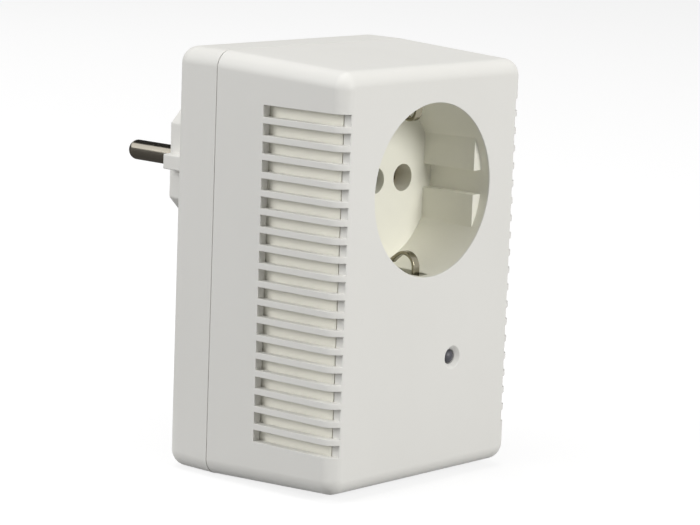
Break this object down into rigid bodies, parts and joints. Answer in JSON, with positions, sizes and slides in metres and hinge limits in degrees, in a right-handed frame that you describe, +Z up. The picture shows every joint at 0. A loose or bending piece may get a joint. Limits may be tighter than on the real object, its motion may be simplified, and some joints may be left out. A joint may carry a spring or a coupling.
{
  "type": "powerline adapter",
  "caption": "Plug-in mains powerline adapter: off-white two-shell housing with side vents, earthed pass-through socket and status light in front, round-pin plug behind.",
  "frame": {"origin": "on the surface that the housing stands on, at the middle of its width and of its depth with the plug", "axes": "+Z up, -Y out of the front face with the socket, +Y along the plug pins, +X to the right seen from the front"},
  "size_m": [0.0652, 0.0876, 0.0974],
  "materials": {
    "housing": "off-white moulded plastic with a fine matt texture",
    "socket_insert": "ivory heat-resistant moulded plastic, satin",
    "nickel": "nickel-plated, bright",
    "brass": "plain stamped and turned brass",
    "steel": "zinc-plated steel",
    "smoked_lens": "smoke-grey polished lens",
    "led_body": "water-clear moulded resin",
    "circuit_board": "green solder mask over glass-fibre board",
    "black_plastic": "black moulded plastic",
    "heatsink": "plain extruded aluminium",
    "yellow_tape": "yellow film and tape wrap",
    "blue_coating": "blue epoxy coating",
    "capacitor_sleeve": "dark blue shrink sleeve",
    "ferrite": "coated ferrite core"
  },
  "bodies": {
    "adapter": {"front_housing": "housing", "rear_housing": "housing", "vent_baffle_left": "housing", "vent_baffle_right": "housing", "plug_body": "housing", "socket_well": "socket_insert", "socket_earth_strap": "nickel", "plug_earth_bracket": "nickel", "plug_pin_left": "nickel", "plug_pin_right": "nickel", "socket_contact_left": "brass", "socket_contact_right": "brass", "earth_post": "brass", "socket_centre_screw": "steel", "housing_screw_1": "steel", "housing_screw_2": "steel", "housing_screw_3": "steel", "housing_screw_4": "steel", "clock_crystal": "steel", "light_guide": "smoked_lens", "status_led": "led_body", "main_board": "circuit_board", "network_jack": "black_plastic", "mains_fuse": "black_plastic", "bridge_rectifier": "black_plastic", "modem_chip": "black_plastic", "memory_chip": "black_plastic", "network_transformer": "black_plastic", "power_controller": "black_plastic", "modem_heatsink": "heatsink", "switching_transformer": "yellow_tape", "interference_capacitor": "yellow_tape", "coupling_transformer": "yellow_tape", "surge_varistor": "blue_coating", "mains_capacitor_left": "capacitor_sleeve", "mains_capacitor_right": "capacitor_sleeve", "output_capacitor": "capacitor_sleeve", "filter_choke": "ferrite"},
    "earth_clip_top": {"socket_earth_clip_top": "nickel"},
    "earth_clip_bottom": {"socket_earth_clip_bottom": "nickel"}
  },
  "joints": [
    {"name": "earth_clip_top_flex", "type": "hinge", "parent": "adapter", "child": "earth_clip_top", "pos_m": [0, -0.0194, 0.09055], "axis": [-1, 0, 0], "range_deg": [0, 5], "stiffness_Nm_per_rad": 1.2},
    {"name": "earth_clip_bottom_flex", "type": "hinge", "parent": "adapter", "child": "earth_clip_bottom", "pos_m": [0, -0.0194, 0.04505], "axis": [1, 0, 0], "range_deg": [0, 5], "stiffness_Nm_per_rad": 1.2}
  ]
}
